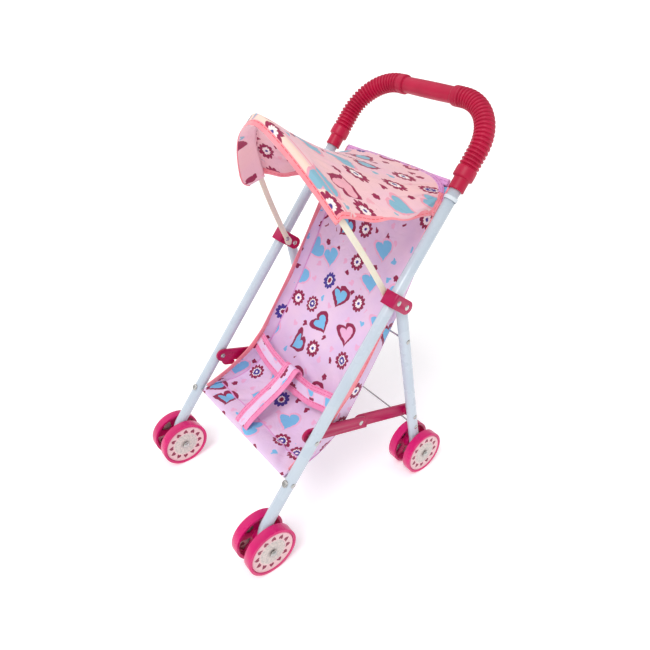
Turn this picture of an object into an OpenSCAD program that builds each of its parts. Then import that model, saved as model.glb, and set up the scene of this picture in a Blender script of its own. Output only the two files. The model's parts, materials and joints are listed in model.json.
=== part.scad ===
// Folding doll stroller: two front legs that run up into a push handle, two rear legs that fold
// forward under them, a pair of hinged links on each side, a cloth sling seat and a canopy.
// X is across the stroller, Y runs from front to back and Z is up. The floor is Z = 0.

/* [Wheels] */
// Outer radius of every wheel
wheel_r = 35; // [30:1:40]
// Width of one wheel
wheel_w = 13; // [11:0.5:16]
// Gap between the two wheels on one axle
wheel_gap = 18; // [17:0.5:24]
// Diameter of the steel axles
axle_d = 5; // [4:0.5:6]
// Number of windows between the wheel's spokes
windows = 5; // [3:1:7]

/* [Frame] */
// Distance between the centres of the left and right legs
track = 247; // [200:1:300]
// Distance from the front axles to the rear axles
wheelbase = 277; // [265:1:340]
// Outside diameter of the leg tubes
tube_d = 15.4; // [12:0.2:16.4]
// Wall of the leg tubes
tube_wall = 0.8; // [0.6:0.1:1.6]
// Angle of the front legs from upright
lean = 38; // [34:0.5:41]
// Height of the bend in each front leg above its axle
knee_h = 22; // [20:1:30]

/* [Handle] */
// Distance along the leg from its bend to the middle of the push bar
bar_at = 612; // [560:1:680]
// Radius of the handle's two bends
handle_bend_r = 64; // [50:1:80]
// Distance along the leg from its bend to the lower end of the grip
cuff_at = 495; // [450:1:500]
// Radius of the grip's lower cuff
cuff_r = 10.4; // [10:0.1:12]
// Radius of the ribbed sleeve in the bends
sleeve_r = 13; // [11:0.1:15]
// Radius of the collars at the ends of the ribbed sleeve
collar_r = 13.6; // [12:0.1:16]
// Radius of the smooth push bar
bar_r = 11.2; // [10:0.1:13]

/* [Brackets and links] */
// Distance along the leg from its bend to the middle of the bracket
bracket_at = 338.7; // [310:0.1:360]
// Height of the bracket along the leg
bracket_h = 19; // [16:0.5:24]
// Distance from the front leg's centre back to the rear leg's pivot
pivot_back = 18.6; // [18:0.1:24]
// Distance along the front leg from its bend to the link's pivot
link_front_at = 134; // [115:0.5:150]
// Distance down the rear leg from its pivot to the link's pivot
link_rear_at = 210; // [195:0.5:225]
// Height of the links
link_h = 19; // [14:0.5:22]
// Share of the links' length that the front link takes
link_share = 0.489; // [0.45:0.001:0.53]
// Diameter of the rivets
rivet_d = 4.8; // [4:0.1:6]

/* [Canopy] */
// Forward lean of the canopy bow from upright
bow_tilt = 27; // [22:0.5:32]
// Height of the bow above its rivet
bow_rise = 240; // [200:1:260]
// Width of the bow's strip
bow_w = 8.5; // [6:0.5:12]
// Thickness of the bow's strip
bow_t = 1.8; // [1.2:0.1:2.4]
// How far the canopy's sides hang below its top at the handle
valance_h = 46; // [30:1:60]

/* [Seat] */
// Distance along the leg from its bend to the top hem of the seat's back
hem_at = 504; // [470:1:510]
// Distance along the leg from its bend to the front wire
front_wire_at = 71.5; // [66:0.5:90]
// Distance along the leg from its bend to the seat's rear crease
crease_at = 147; // [130:1:170]
// Depth of the seat's rear crease behind the front legs
crease_depth = 66; // [55:1:76]
// Gap from the front legs' centres to the cloth's sides
cloth_gap = 20.5; // [19.5:0.5:30]
// Thickness of the cloth
cloth_t = 2; // [1:0.1:3]
// Distance down the rear leg from its pivot to the upper wire
upper_wire_at = 60; // [45:1:80]
// Distance down the rear leg from its pivot to the lower wire
lower_wire_at = 232; // [228:1:245]
// Diameter of the cross wires
wire_d = 2.6; // [2:0.1:4]

/* [Hidden] */
$fn = 64;

// Clearances
running_fit = 0.06;
slip_fit = 0.15;
gap = 0.4;

// Plain values from the driving dimensions
half_track = track / 2;
tube_r = tube_d / 2;
bore_r = tube_r - tube_wall;
axle_r = axle_d / 2;
rivet_r = rivet_d / 2;
wire_r = wire_d / 2;
knee_z = wheel_r + knee_h;
foot_below = 8;
bend_at = bar_at - handle_bend_r;
bar_half = half_track - handle_bend_r;
leg_top = bend_at - 16;
spigot_len = 30;
core_r = bore_r - 1.2;
collar_len = 13;
end_collar_len = 9;
cuff_len = 16;
head_r = 3.6;
head_h = 1.2;

// A point on the front leg's line, u along the leg from its bend and n in front of the line
function leg_y(u, n = 0) = u * sin(lean) - n * cos(lean);
function leg_z(u, n = 0) = knee_z + u * cos(lean) + n * sin(lean);

// Rear leg: from its pivot in the bracket down to the rear axle
pivot_y = leg_y(bracket_at, -pivot_back);
pivot_z = leg_z(bracket_at, -pivot_back);
rear_len = norm([wheelbase - pivot_y, pivot_z - wheel_r]);
rear_tilt = atan2(wheelbase - pivot_y, pivot_z - wheel_r);
function rear_y(d) = pivot_y + d * sin(rear_tilt);
function rear_z(d) = pivot_z - d * cos(rear_tilt);

// Links: one straight line from the front leg to the rear leg when the stroller stands open
link_y = leg_y(link_front_at);
link_z = leg_z(link_front_at);
link_end_y = rear_y(link_rear_at);
link_end_z = rear_z(link_rear_at);
link_span = norm([link_end_y - link_y, link_end_z - link_z]);
link_tilt = atan2(link_end_z - link_z, link_end_y - link_y);
front_link_len = link_share * link_span;
rear_link_len = link_span - front_link_len;
link_t = 4;
front_layer = tube_r + 1.3;
rear_layer = front_layer + link_t + 0.5;

// Bracket and bow
bracket_half = tube_r + 3.3;
bracket_front = tube_r + 2.3;
bow_half = half_track - bracket_half - gap;
cloth_half = half_track - cloth_gap;

// The whole stroller is centred front to back on its own length
back_end = leg_y(bar_at) + collar_r;
mid_y = (back_end - wheel_r) / 2;

// The joints' axes when the stroller stands open
echo(rear_pivot = [0, pivot_y - mid_y, pivot_z], bow_pivot = [0, leg_y(bracket_at) - mid_y,
    leg_z(bracket_at)], link_a = [0, link_y - mid_y, link_z], link_c = [0, link_end_y - mid_y,
    link_end_z], link_lengths = [front_link_len, rear_link_len], link_tilt = link_tilt,
    front_axle = [0, -mid_y, wheel_r], rear_axle = [0, wheelbase - mid_y, wheel_r],
    mid_y = mid_y, rear_tilt = rear_tilt);

// Placing helpers
module stand() { translate([0, -mid_y, 0]) children(); }
module on_leg(u = 0) { translate([0, leg_y(u), leg_z(u)]) rotate([-lean, 0, 0]) children(); }
module on_rear(d = 0) { translate([0, rear_y(d), rear_z(d)]) rotate([rear_tilt, 0, 0]) children(); }
module at_leg(side) { translate([side * half_track, 0, 0]) children(); }
module both_sides() { for (side = [-1, 1]) at_leg(side) children(); }
// What is drawn on the right is mirrored when side is -1
module to_side(side) {
    if (side > 0) children();
    else mirror([1, 0, 0]) children();
}
// A cylinder along X from x0 to x1
module cross(r, x0, x1) { translate([x0, 0, 0]) rotate([0, 90, 0]) cylinder(r = r, h = x1 - x0); }
// A side view, drawn in Y and Z, made w wide along X
module side_view(w) { rotate([90, 0, 90]) linear_extrude(w, center = true) children(); }
// A low domed head along X, its flat side at x and its dome towards dir
module dome(x, dir, r = head_r, h = head_h) {
    ball = (r * r + h * h) / (2 * h);
    translate([x, 0, 0]) rotate([0, dir * 90, 0]) intersection() {
        cylinder(r = r, h = h + 0.1);
        translate([0, 0, h - ball]) sphere(r = ball);
    }
}
// A rivet from x0 to x1 with a domed head on each end
module rivet(x0, x1) {
    cross(rivet_r, x0, x1);
    dome(x0, -1);
    dome(x1, 1);
}

// Front legs: a tube with an open top for the handle's spigot, and an upright foot under its bend
module front_leg(side) {
    foot_r = tube_r - 0.25;
    color("#E3ECF2") stand() at_leg(side) difference() {
        union() {
            on_leg() cylinder(r = tube_r, h = leg_top);
            translate([0, 0, knee_z]) sphere(r = tube_r - 0.12);
            translate([0, 0, wheel_r - foot_below]) cylinder(r = foot_r, h = knee_h + foot_below);
        }
        on_leg(2 * tube_r) cylinder(r = bore_r, h = leg_top);
        translate([0, 0, wheel_r]) cross(axle_r + slip_fit, -tube_d, tube_d);
        on_leg(link_front_at) cross(rivet_r + slip_fit, -tube_d, tube_d);
        on_leg(bracket_at) cross(rivet_r + slip_fit, -tube_d, tube_d);
        on_leg(front_wire_at) cross(wire_r + slip_fit, -tube_d, tube_d);
    }
}

// Handle: one bent tube with spigots that slide into the legs. Its parts are placed in the
// frame of the leg line, where Z runs along the legs.
module mirrored() {
    children();
    mirror([1, 0, 0]) children();
}
module bend(r) {
    translate([half_track - handle_bend_r, 0, bend_at]) rotate([90, 0, 0])
        rotate_extrude(angle = 90) translate([handle_bend_r, 0]) circle(r = r);
}
// An upright round length of the handle from u0 to u1 along the leg line
module upright(r, u0, u1) { translate([half_track, 0, u0]) cylinder(r = r, h = u1 - u0); }
module handle_shape(r, end_r) {
    mirrored() {
        bend(r);
        upright(r, leg_top, bend_at);
        upright(end_r, leg_top - spigot_len, leg_top);
    }
    translate([0, 0, bar_at]) cross(r, -bar_half, bar_half);
}
module handle_tube() {
    color("#E3ECF2") stand() on_leg() difference() {
        handle_shape(tube_r, bore_r - slip_fit);
        handle_shape(core_r, core_r);
    }
}
module grip(side) {
    inside = tube_r + slip_fit;
    collar_at = cuff_at + cuff_len;
    sleeve_at = collar_at + end_collar_len;
    color("#BE1A4F") stand() on_leg() to_side(side) difference() {
        union() {
            bend(sleeve_r);
            upright(cuff_r, cuff_at, collar_at);
            upright(collar_r, collar_at, sleeve_at);
            upright(sleeve_r, sleeve_at, bend_at);
        }
        bend(inside);
        upright(inside, cuff_at, bend_at);
    }
}
module push_bar() {
    half = bar_half - gap;
    color("#C0205A") stand() on_leg(bar_at) difference() {
        union() {
            cross(bar_r, -half, half);
            mirrored() cross(collar_r, half - collar_len, half);
        }
        cross(tube_r + slip_fit, -half, half);
    }
}

// Brackets: a block around the front leg whose two cheeks hold the rear leg's top
module bracket(side) {
    round_r = 3;
    color("#C4156B") stand() at_leg(side) on_leg(bracket_at) difference() {
        intersection() {
            linear_extrude(bracket_h, center = true) union() {
                for (x = [-1, 1]) translate([x * (bracket_half - round_r), round_r - bracket_front])
                    circle(r = round_r);
                translate([round_r - bracket_half, -bracket_front])
                    square([2 * (bracket_half - round_r), pivot_back + bracket_front + bracket_h]);
                translate([-bracket_half, round_r - bracket_front])
                    square([2 * bracket_half, pivot_back + bracket_front - round_r + bracket_h]);
            }
            side_view(3 * bracket_half) union() {
                translate([-bracket_front, -bracket_h / 2]) square([pivot_back + bracket_front, bracket_h]);
                translate([pivot_back, 0]) circle(r = bracket_h / 2);
            }
        }
        cylinder(r = tube_r + slip_fit, h = 2 * bracket_h, center = true);
        translate([-tube_r - gap, tube_r + 1.6, -bracket_h])
            cube([tube_d + 2 * gap, pivot_back + bracket_h, 2 * bracket_h]);
        cross(rivet_r + slip_fit, -track, track);
        translate([0, pivot_back, 0]) cross(rivet_r + slip_fit, -track, track);
    }
}
module bow_rivets() {
    color("silver") stand() on_leg(bracket_at) mirrored() translate([half_track, 0, 0])
        rivet(-bracket_half - gap - bow_t - gap, bracket_half);
}
module rear_leg_rivets() {
    color("silver") stand() both_sides() on_rear() rivet(-bracket_half, bracket_half);
}

// Rear legs and their cross wires
module rear_leg(side) {
    top = 4;
    color("#E3ECF2") stand() at_leg(side) difference() {
        on_rear(rear_len + foot_below) cylinder(r = tube_r, h = rear_len + foot_below + top);
        on_rear(rear_len + foot_below) cylinder(r = bore_r, h = rear_len + foot_below + top);
        on_rear(0) cross(rivet_r + running_fit, -tube_d, tube_d);
        on_rear(upper_wire_at) cross(wire_r + slip_fit, -tube_d, tube_d);
        on_rear(link_rear_at) cross(rivet_r + slip_fit, -tube_d, tube_d);
        on_rear(lower_wire_at) cross(wire_r + slip_fit, -tube_d, tube_d);
        on_rear(rear_len) cross(axle_r + slip_fit, -tube_d, tube_d);
    }
}
// A wire through both legs, with a domed head outside each
module wire() {
    reach = half_track + tube_r;
    cross(wire_r, -reach, reach);
    mirrored() dome(reach, 1);
}
module seat_front_wire() { color("silver") stand() on_leg(front_wire_at) wire(); }
module rear_wire_upper() { color("silver") stand() on_rear(upper_wire_at) wire(); }
module rear_wire_lower() { color("silver") stand() on_rear(lower_wire_at) wire(); }

// Links: the front one lies next to the legs, the rear one just inside it
module in_links(side) {
    stand() translate([0, link_y, link_z]) rotate([link_tilt, 0, 0])
        to_side(side) translate([half_track, 0, 0]) children();
}
module link_front(side) {
    r = link_h / 2;
    past = 13;
    color("#C4156B") in_links(side) difference() {
        translate([-front_layer - link_t / 2, 0, 0]) side_view(link_t) difference() {
            union() {
                circle(r = r);
                translate([0, -r]) square([front_link_len, link_h]);
                translate([front_link_len, 0]) circle(r = r);
                translate([front_link_len, -r]) square([past, 5]);
                translate([9, -r]) circle(r = 7.5);
                translate([9, -r - 7.5]) square([10, 10]);
                translate([19, -r - 3.5]) circle(r = 4);
            }
            circle(r = rivet_r + running_fit);
            translate([front_link_len, 0]) circle(r = rivet_r);
        }
    }
}
module link_rear(side) {
    r = link_h / 2;
    boss_r = 6;
    color("#C4156B") in_links(side) difference() {
        union() {
            translate([-rear_layer - link_t / 2, 0, 0]) side_view(link_t) union() {
                translate([front_link_len, 0]) circle(r = r);
                translate([front_link_len, -r]) square([rear_link_len, link_h]);
                translate([link_span, 0]) circle(r = r);
            }
            translate([0, link_span, 0]) cross(boss_r, -rear_layer - 1, -tube_r - gap);
        }
        translate([0, link_span, 0]) cross(rivet_r + running_fit, -track, track);
        translate([0, front_link_len, 0]) cross(rivet_r, -track, track);
    }
}
module front_link_rivets() {
    color("silver") for (side = [-1, 1]) in_links(side) rivet(-front_layer - link_t - gap, tube_r);
}
module rear_link_rivets() {
    color("silver") for (side = [-1, 1]) in_links(side) translate([0, link_span, 0])
        rivet(-rear_layer - link_t - gap, tube_r);
}
module mid_rivet_front(side) {
    color("silver") in_links(side) translate([0, front_link_len, 0]) {
        cross(rivet_r, -front_layer - link_t, -front_layer);
        dome(-front_layer, 1, head_r, 0.9);
    }
}
module mid_rivet_rear(side) {
    color("silver") in_links(side) translate([0, front_link_len, 0]) {
        cross(rivet_r, -rear_layer - link_t, -rear_layer);
        dome(-rear_layer - link_t, -1);
    }
}

// Axles and their push-on caps
axle_reach = wheel_gap / 2 + wheel_w + 2.5;
cap_r = 5;
cap_t = 1.2;
module axle(side, y) {
    color("silver") stand() at_leg(side) translate([0, y, wheel_r]) cross(axle_r, -axle_reach, axle_reach);
}
module caps(y) {
    color("silver") stand() both_sides() translate([0, y, wheel_r]) mirrored() difference() {
        union() {
            cross(cap_r, axle_reach - 1.6, axle_reach - 0.4);
            dome(axle_reach - 0.4, 1, cap_r - 0.6, 2.2);
        }
        cross(axle_r, 0, axle_reach);
    }
}

// Wheels: rim and hub joined by broad spokes, closed on one face by a disc
rim_t = 4;
recess = 1.2;
disc_t = 2;
disc_r = wheel_r - rim_t - 0.6;
hub_r = 8.5;
// dir is the side that the disc faces
module place_wheel(side, y, dir) {
    stand() at_leg(side) translate([dir * (wheel_gap / 2), y, wheel_r]) rotate([0, dir * 90, 0]) children();
}
module wheel(side, y, dir) {
    web_t = 2.4;
    web_at = wheel_w - recess - disc_t - web_t;
    color("#D2186F") place_wheel(side, y, dir) difference() {
        union() {
            difference() {
                cylinder(r = wheel_r, h = wheel_w);
                translate([0, 0, -1]) cylinder(r = wheel_r - rim_t, h = wheel_w + 2);
            }
            translate([0, 0, web_at]) linear_extrude(web_t) difference() {
                circle(r = wheel_r - rim_t + 0.5);
                for (k = [0 : windows - 1]) rotate(360 * (k + 0.5) / windows) window();
            }
            cylinder(r = hub_r, h = web_at + web_t);
        }
        translate([0, 0, -1]) cylinder(r = axle_r + running_fit, h = wheel_w + 2);
    }
}
// One window: a round-cornered sector between the hub and the rim
module window() {
    inner = hub_r + 3;
    outer = wheel_r - rim_t - 3;
    half = 180 / windows - 13;
    polygon(concat([for (a = [-half : half / 4 : half]) outer * [cos(a), sin(a)]],
        [for (a = [half : -half : -half]) inner * [cos(a * 0.7), sin(a * 0.7)]]));
}
module disc(side, y, dir) {
    color("#EBD6D6") place_wheel(side, y, dir) translate([0, 0, wheel_w - recess - disc_t]) difference() {
        union() {
            cylinder(r = disc_r, h = disc_t);
            difference() {
                cylinder(r = disc_r, h = disc_t + 0.7);
                cylinder(r = disc_r - 1.4, h = disc_t + 1);
            }
            cylinder(r = hub_r + 6, h = disc_t + 0.4);
        }
        translate([0, 0, -1]) cylinder(r = axle_r + slip_fit + 0.2, h = wheel_w);
    }
}

// Cloth sling. Side-view points are [distance behind the leg line, distance along the leg].
hem_back = 10;
function back_line(t) = [
    hem_back + (crease_depth - hem_back) * (t + 0.2 * sin(180 * t)),
    hem_at + (crease_at - hem_at) * t];
pan_steps = 8;
pan_sag = 7;
pan_front = [wire_r + 1.2, front_wire_at + wire_r];
// The pan bows down between the crease and the front wire
function pan_line(t) = back_line(1) + (pan_front - back_line(1)) * t
    + pan_sag * sin(180 * t) * [sin(lean), -cos(lean)];
// Front edge of the seat's sides, from the top hem to the front wire
side_edge = [[hem_back, hem_at], [hem_back, hem_at - 20], [14, hem_at - 87],
    [25, hem_at - 150], [34, hem_at - 230],
    [37, crease_at + 50], [30, crease_at + 3], [12, front_wire_at + 33], [0, front_wire_at + 5]];
back_steps = 14;
// Points of the sling's side view from the hem down the back and along the pan, moved outwards
function sling_line(out) = concat(
    [for (i = [0 : back_steps]) back_line(i / back_steps) + [out, 0]],
    [for (i = [1 : pan_steps]) pan_line(i / pan_steps) + [out, -out]]);
function backwards(list) = [for (i = [len(list) - 1 : -1 : 0]) list[i]];
module seat_sling() {
    in_front = -40;
    color("#E9C9EC") stand() on_leg() difference() {
        union() {
            difference() {
                side_view(2 * cloth_half) polygon(concat(side_edge, backwards(sling_line(cloth_t))));
                side_view(2 * (cloth_half - cloth_t)) polygon(concat([[in_front, hem_at + 20],
                    [hem_back, hem_at + 20]], sling_line(0), [[in_front, pan_front[1]]]));
            }
            translate([0, 0, front_wire_at]) cross(wire_r + 2.6, -cloth_half, cloth_half);
        }
        translate([0, 0, front_wire_at]) cross(wire_r + slip_fit, -track, track);
    }
}
// Short loops that hold the hem's corners to the legs
module hem_loops() {
    loop_h = 8;
    loop_at = cuff_at - 14;
    loop_tab = 14.5;
    color("#F2A0C4") stand() for (side = [-1, 1]) to_side(side)
        translate([half_track, 0, 0]) on_leg(loop_at) difference() {
            union() {
                cylinder(r = tube_r + 1.6, h = loop_h, center = true);
                translate([1 - loop_tab, hem_back - 3, -loop_h / 2]) cube([loop_tab - 2, 1.6, loop_h]);
            }
            cylinder(r = tube_r + slip_fit, h = loop_h + 2, center = true);
        }
}
strap_w = 28;
strap_t = 1.6;
module waist_strap() {
    half = cloth_half - cloth_t - gap;
    depth = 12;
    color("#F2A0C4") stand() translate([0, leg_y(crease_at + 30, -42), leg_z(crease_at + 26, -42)])
        linear_extrude(strap_w, center = true) polygon(concat(
            [for (i = [-6 : 6]) [half * i / 6, -depth * (1 - pow(i / 6, 2))]],
            [for (i = [6 : -1 : -6]) [half * i / 6, strap_t - depth * (1 - pow(i / 6, 2))]]));
}
module crotch_strap() {
    low = [8, front_wire_at + 9];
    high = [36, crease_at + 6];
    side = [-strap_t, 0];
    color("#F2A0C4") stand() on_leg() side_view(strap_w) polygon([low + [0, 3], high, high + side,
        low + side * 2 + [0, 3]]);
}

// Canopy: one sheet from the hem at the handle to the bow, with hanging sides
canopy_cols = 24;
canopy_rows = 8;
bow_y = leg_y(bracket_at);
bow_z = leg_z(bracket_at);
edge_angle = 57;
// The sheet rises over the strip's rear edge as it comes to the bow
bow_lift = 8;
function hem_point(s, off) = let (
        a = 90 * s,
        across = sign(s) * pow(abs(sin(a)), 0.5),
        up = pow(abs(cos(a)), 0.5),
        u = hem_at - valance_h + (valance_h + 6) * up + off)
    [(cloth_half + 2 + off) * across, leg_y(u, 2 - hem_back), leg_z(u, 2 - hem_back)];
function bow_point(s, off) = let (
        a = edge_angle * s,
        rise = (bow_rise + off) * cos(a))
    [(bow_half + off) * sin(a), bow_y - rise * sin(bow_tilt), bow_z + rise * cos(bow_tilt)];
function canopy_point(i, j, off) = let (s = 2 * i / canopy_cols - 1, t = j / canopy_rows)
    hem_point(s, off) * (1 - t) + bow_point(s, off) * t
    + [0, -(bow_w / 2 + 1) * sin(90 * t), bow_lift * pow(t, 6) - 8 * sin(180 * t) * cos(90 * s)];
module canopy() {
    wide = canopy_cols + 1;
    count = wide * (canopy_rows + 1);
    low = bow_t + 0.6;
    points = concat([for (j = [0 : canopy_rows]) for (i = [0 : canopy_cols])
            canopy_point(i, j, low + cloth_t * 0.75)],
        [for (j = [0 : canopy_rows]) for (i = [0 : canopy_cols]) canopy_point(i, j, low)]);
    top = [for (j = [0 : canopy_rows - 1]) for (i = [0 : canopy_cols - 1])
        let (a = j * wide + i) for (f = [[a, a + 1, a + wide + 1], [a, a + wide + 1, a + wide]]) f];
    under = [for (f = top) [f[2] + count, f[1] + count, f[0] + count]];
    rim = concat([for (i = [0 : canopy_cols - 1]) i],
        [for (j = [0 : canopy_rows - 1]) j * wide + canopy_cols],
        [for (i = [canopy_cols : -1 : 1]) canopy_rows * wide + i],
        [for (j = [canopy_rows : -1 : 1]) j * wide]);
    walls = [for (k = [0 : len(rim) - 1]) let (a = rim[k], b = rim[(k + 1) % len(rim)])
        for (f = [[b, a, a + count], [b, a + count, b + count]]) f];
    color("#F7CFD8") stand() polyhedron(points, concat(top, under, walls));
}

// Canopy bow: a flat strip bent to half an ellipse, with an eye at each end
module canopy_bow() {
    arc = [for (a = [0 : 6 : 180]) a];
    eye_r = 6;
    color("#F5EFD8") stand() translate([0, bow_y, bow_z]) rotate([bow_tilt, 0, 0]) difference() {
        union() {
            rotate([90, 0, 0]) linear_extrude(bow_w, center = true) polygon(concat(
                [for (a = arc) [bow_half * cos(a), bow_rise * sin(a)]],
                [for (i = [len(arc) - 1 : -1 : 0])
                    [(bow_half - bow_t) * cos(arc[i]), (bow_rise - bow_t) * sin(arc[i])]]));
            mirrored() cross(eye_r, bow_half - bow_t, bow_half);
        }
        cross(rivet_r + running_fit, -track, track);
    }
}

front_leg(-1);  // front_leg_left
front_leg(1);  // front_leg_right
handle_tube();
grip(-1);  // grip_left
grip(1);  // grip_right
push_bar();
bracket(-1);  // bracket_left
bracket(1);  // bracket_right
bow_rivets();
rear_leg_rivets();
front_link_rivets();
seat_front_wire();
axle(-1, 0);  // front_axle_left
axle(1, 0);  // front_axle_right
caps(0);  // front_axle_caps
seat_sling();
hem_loops();
waist_strap();
crotch_strap();
canopy();
canopy_bow();
rear_leg(-1);  // rear_leg_left
rear_leg(1);  // rear_leg_right
rear_wire_upper();
rear_wire_lower();
rear_link_rivets();
axle(-1, wheelbase);  // rear_axle_left
axle(1, wheelbase);  // rear_axle_right
caps(wheelbase);  // rear_axle_caps
link_front(-1);  // link_front_left
link_front(1);  // link_front_right
link_rear(-1);  // link_rear_left
link_rear(1);  // link_rear_right
mid_rivet_front(-1);  // mid_rivet_front_left
mid_rivet_front(1);  // mid_rivet_front_right
mid_rivet_rear(-1);  // mid_rivet_rear_left
mid_rivet_rear(1);  // mid_rivet_rear_right
wheel(-1, 0, -1);  // wheel_front_left_outer
wheel(-1, 0, 1);  // wheel_front_left_inner
wheel(1, 0, -1);  // wheel_front_right_inner
wheel(1, 0, 1);  // wheel_front_right_outer
wheel(-1, wheelbase, -1);  // wheel_rear_left_outer
wheel(-1, wheelbase, 1);  // wheel_rear_left_inner
wheel(1, wheelbase, -1);  // wheel_rear_right_inner
wheel(1, wheelbase, 1);  // wheel_rear_right_outer
disc(-1, 0, -1);  // disc_front_left_outer
disc(-1, 0, 1);  // disc_front_left_inner
disc(1, 0, -1);  // disc_front_right_inner
disc(1, 0, 1);  // disc_front_right_outer
disc(-1, wheelbase, -1);  // disc_rear_left_outer
disc(-1, wheelbase, 1);  // disc_rear_left_inner
disc(1, wheelbase, -1);  // disc_rear_right_inner
disc(1, wheelbase, 1);  // disc_rear_right_outer
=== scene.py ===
# %% [markdown]
# # A doll's stroller in Blender
# The metal and plastic frame comes in ready made, as a fixed assembly in metres. This lesson gives
# it real finishes, and makes the parts that a solid modeller leaves plain: bent and ribbed tube,
# printed cloth, sewn tape, wheels with rounded edges. Every surface is a formula worked out with
# numpy for a whole grid of points at once.

import json
import math

import bpy
import numpy as np
from mathutils import Matrix, Vector


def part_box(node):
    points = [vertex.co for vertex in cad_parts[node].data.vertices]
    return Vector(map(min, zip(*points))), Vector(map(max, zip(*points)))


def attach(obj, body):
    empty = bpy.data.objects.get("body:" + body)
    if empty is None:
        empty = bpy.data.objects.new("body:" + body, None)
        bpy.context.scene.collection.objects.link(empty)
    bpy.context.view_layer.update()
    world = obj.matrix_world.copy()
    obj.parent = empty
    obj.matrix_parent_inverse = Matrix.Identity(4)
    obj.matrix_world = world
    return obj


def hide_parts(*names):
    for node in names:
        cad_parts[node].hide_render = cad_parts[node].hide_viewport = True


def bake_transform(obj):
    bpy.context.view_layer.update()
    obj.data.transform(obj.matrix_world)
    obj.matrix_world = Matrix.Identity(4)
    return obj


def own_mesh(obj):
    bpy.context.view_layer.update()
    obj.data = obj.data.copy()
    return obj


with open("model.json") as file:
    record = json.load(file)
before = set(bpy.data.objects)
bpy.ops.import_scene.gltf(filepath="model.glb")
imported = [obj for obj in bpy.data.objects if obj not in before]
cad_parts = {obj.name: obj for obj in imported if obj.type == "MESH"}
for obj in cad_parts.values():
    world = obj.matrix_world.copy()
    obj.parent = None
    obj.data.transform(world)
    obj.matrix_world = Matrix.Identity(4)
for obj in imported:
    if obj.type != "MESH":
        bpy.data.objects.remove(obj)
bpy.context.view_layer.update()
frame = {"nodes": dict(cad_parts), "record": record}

# %% [markdown]
# ## Camera
# The stroller is seen from its front right corner and well above, as an adult sees a toy on the
# floor. A free camera with a measured place, turn and lens is the simplest, and the small shift
# keeps the object where it should stand in the picture.

# %% Camera
AZIMUTH, ELEVATION, ROLL = map(math.radians, (48.77, 30.73, 1.76))
back = Vector((math.sin(AZIMUTH) * math.cos(ELEVATION), -math.cos(AZIMUTH) * math.cos(ELEVATION),
               math.sin(ELEVATION)))
right = Vector((math.cos(AZIMUTH), math.sin(AZIMUTH), 0))
up = back.cross(right)
rolled_right = right * math.cos(ROLL) + up * math.sin(ROLL)
rolled_up = up * math.cos(ROLL) - right * math.sin(ROLL)
camera = bpy.data.objects.new("camera", bpy.data.cameras.new("camera"))
camera.matrix_world = Matrix((
    (*[v[0] for v in (rolled_right, rolled_up, back)], 0.56204),
    (*[v[1] for v in (rolled_right, rolled_up, back)], -0.40884),
    (*[v[2] for v in (rolled_right, rolled_up, back)], 0.68349),
    (0, 0, 0, 1)))
camera.data.lens, camera.data.sensor_width = 31.705, 36
camera.data.shift_x, camera.data.shift_y = -0.0535, -0.0303
camera.data.clip_start, camera.data.clip_end = 0.01, 50
bpy.context.scene.collection.objects.link(camera)
bpy.context.scene.camera = camera
print("camera at", [round(v, 3) for v in camera.matrix_world.translation])

# %% [markdown]
# ## Helpers for meshes
# Nearly every piece here is one of two things: a sheet, which is a grid of points from a function
# of two parameters, or a bar, which is a closed outline carried along a path. Two short functions
# cover both. A grid keeps its own UV map in metres, so that a pattern on it has its real size.


# %% Mesh helpers
def place(name, points, faces, uv=None):
    """Makes a smooth mesh object from points, quads and one UV pair per point, in metres."""
    mesh = bpy.data.meshes.new(name)
    mesh.from_pydata(points.reshape(-1, 3).tolist(), [],
                     faces if isinstance(faces, list) else faces.tolist())
    if uv is not None:
        corners = np.zeros(len(mesh.loops), np.int32)
        mesh.loops.foreach_get("vertex_index", corners)
        layer = mesh.uv_layers.new(name="pattern")
        layer.data.foreach_set("uv", uv.reshape(-1, 2)[corners].astype(np.float32).ravel())
    mesh.polygons.foreach_set("use_smooth", np.ones(len(mesh.polygons), bool))
    obj = bpy.data.objects.new(name, mesh)
    bpy.context.scene.collection.objects.link(obj)
    return obj


def quads(rows, cols, row_loop=False, col_loop=False):
    """Corner numbers of a grid's quads: each is (here, next column, both, next row)."""
    i = np.arange(rows if row_loop else rows - 1)[:, None]
    j = np.arange(cols if col_loop else cols - 1)[None, :]
    i2, j2 = (i + 1) % rows, (j + 1) % cols
    return np.stack([i * cols + j, i * cols + j2, i2 * cols + j2, i2 * cols + j], -1).reshape(-1, 4)


def lengths(path):
    """Distance along a path to each of its points: the running sum of the steps' lengths."""
    return np.concatenate([[0], np.cumsum(np.linalg.norm(np.diff(path, axis=0), axis=1))])


def spaced(path, count, rounding=0):
    """The same path at equal steps, with its corners rounded by averaging neighbours."""
    path = np.asarray(path, float)
    at = lengths(path)
    even = np.stack([np.interp(np.linspace(0, at[-1], count), at, c) for c in path.T], 1)
    for _ in range(rounding):
        even[1:-1] = (even[:-2] + 2 * even[1:-1] + even[2:]) / 4
    return even


def unit(v):
    """Vectors divided by their own lengths."""
    return v / np.maximum(np.linalg.norm(v, axis=-1, keepdims=True), 1e-12)


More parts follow.
